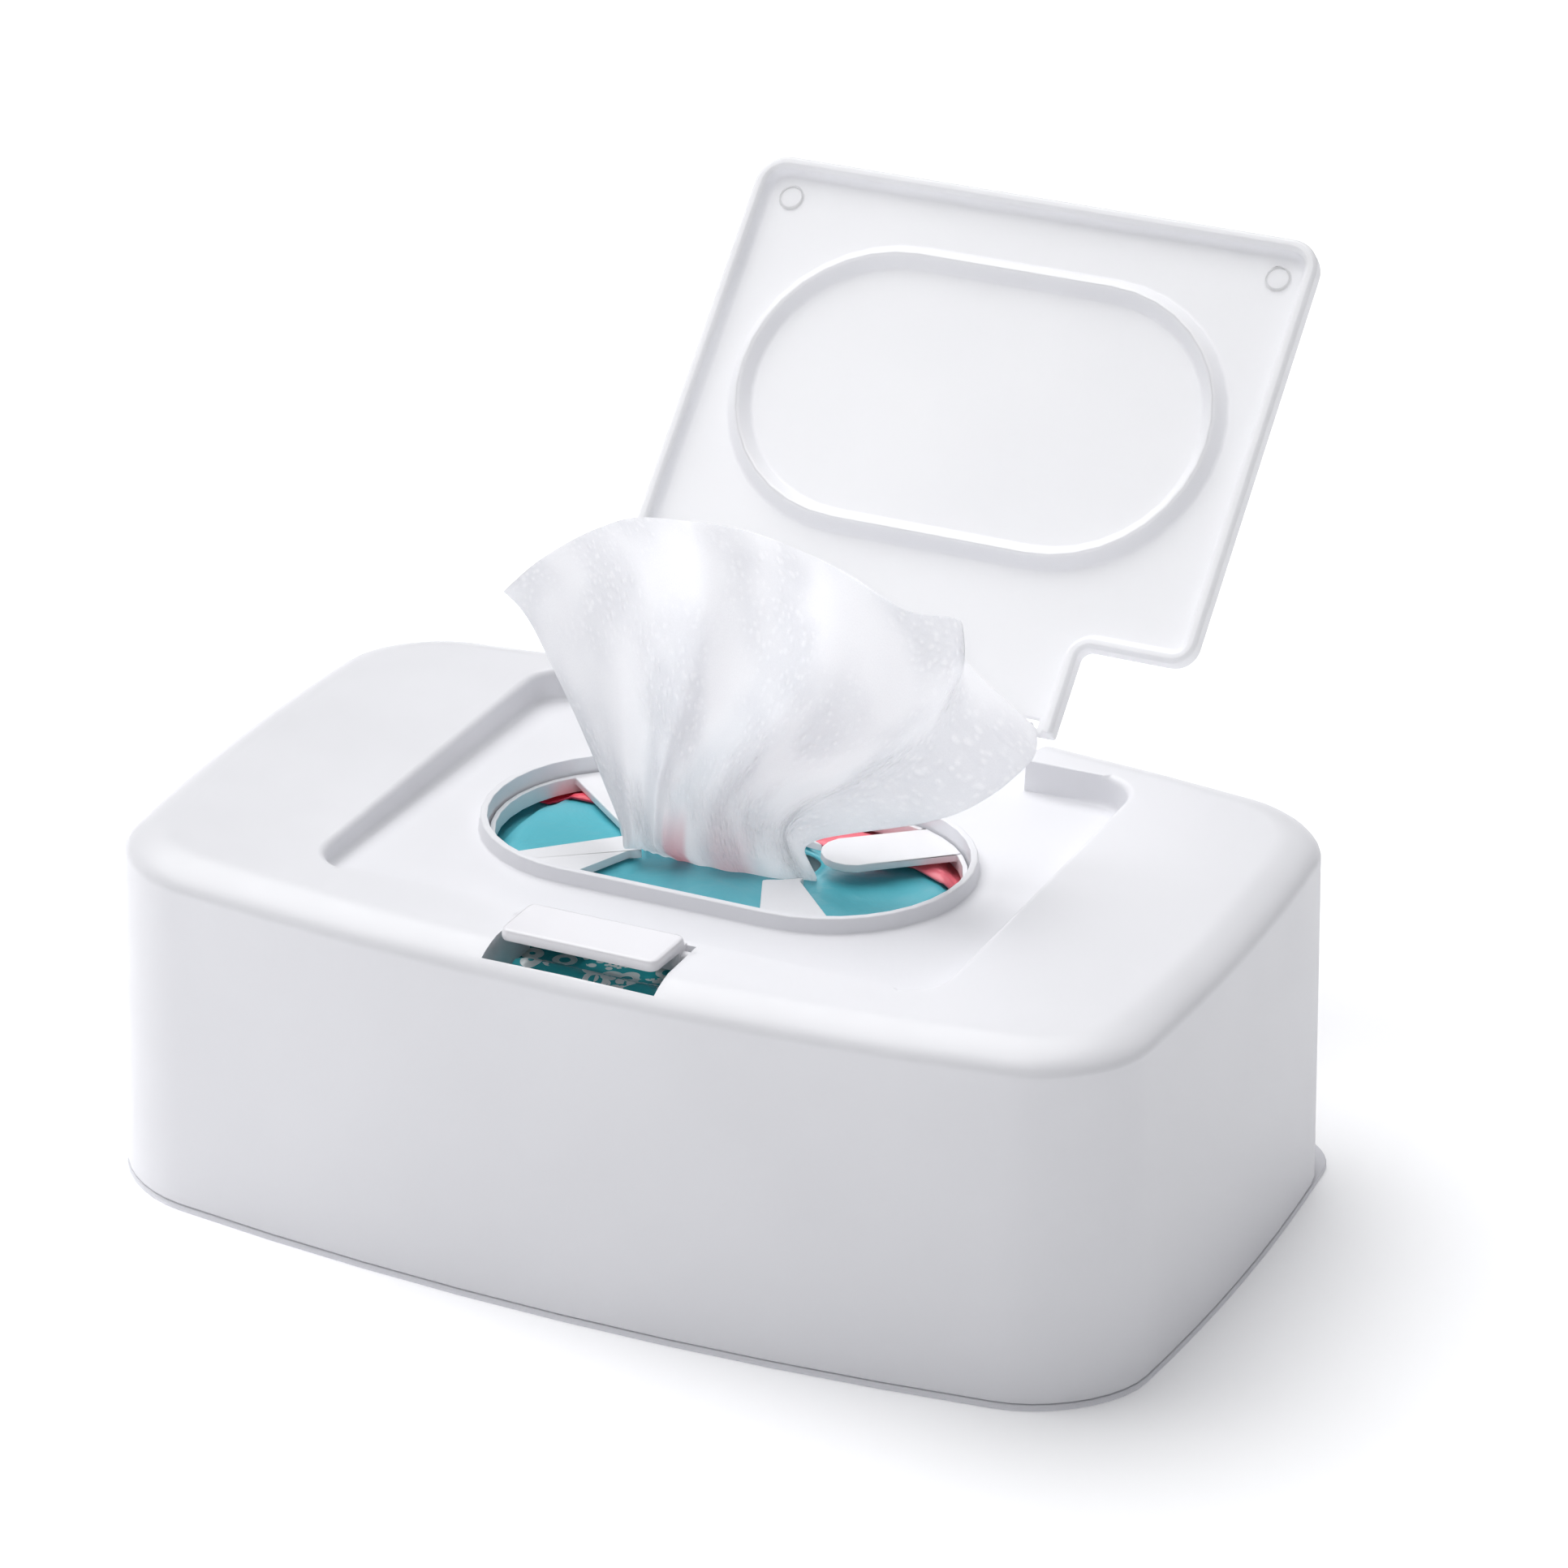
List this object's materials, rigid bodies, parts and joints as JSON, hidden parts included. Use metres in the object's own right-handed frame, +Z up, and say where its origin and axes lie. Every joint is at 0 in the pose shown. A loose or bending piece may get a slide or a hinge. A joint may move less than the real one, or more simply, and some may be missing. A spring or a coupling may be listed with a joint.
{
  "type": "portable wipes dispenser",
  "caption": "Bowed rectangular wipes case with a recessed top, oval mouth, hinged lid standing open, push button, lift-off base plate and a wipe fanning out of a refill pack.",
  "frame": {"origin": "centre of the base plate's underside, the face that the dispenser stands on", "axes": "+X along the case, +Y to the hinge side, +Z up"},
  "size_m": [0.2244, 0.224, 0.1582],
  "materials": {
    "base_plastic": "fine satin, white polypropylene",
    "case_plastic": "soft gloss, white polypropylene",
    "guide_plastic": "gloss, white polypropylene",
    "steel": "drawn stainless wire",
    "button_plastic": "soft gloss, white polypropylene",
    "pack_film": "printed teal laminate film",
    "label_film": "printed red film label",
    "nonwoven": "moist embossed nonwoven",
    "lid_plastic": "soft gloss, white polypropylene"
  },
  "bodies": {
    "base": {"base_plate": "base_plastic"},
    "case": {"case_shell": "case_plastic", "wipe_guide": "guide_plastic", "hinge_pin": "steel", "refill_pack": "pack_film", "opening_label": "label_film", "wipe_stack": "nonwoven", "top_wipe": "nonwoven"},
    "lid": {"lid": "lid_plastic"},
    "button": {"push_button": "button_plastic"}
  },
  "joints": [
    {"name": "case_lift", "type": "slide", "parent": "base", "child": "case", "axis": [0, 0, 1], "range_m": [0, 0.09]},
    {"name": "lid_hinge", "type": "hinge", "parent": "case", "child": "lid", "pos_m": [0, 0.0706, 0.0741], "axis": [1, 0, 0], "range_deg": [0, 134.5], "deforming": ["top_wipe"]},
    {"name": "button_press", "type": "hinge", "parent": "case", "child": "button", "pos_m": [0, -0.0507, 0.0728], "axis": [1, 0, 0], "range_deg": [0, 5], "stiffness_Nm_per_rad": 0.05, "springref_deg": -5.73}
  ]
}
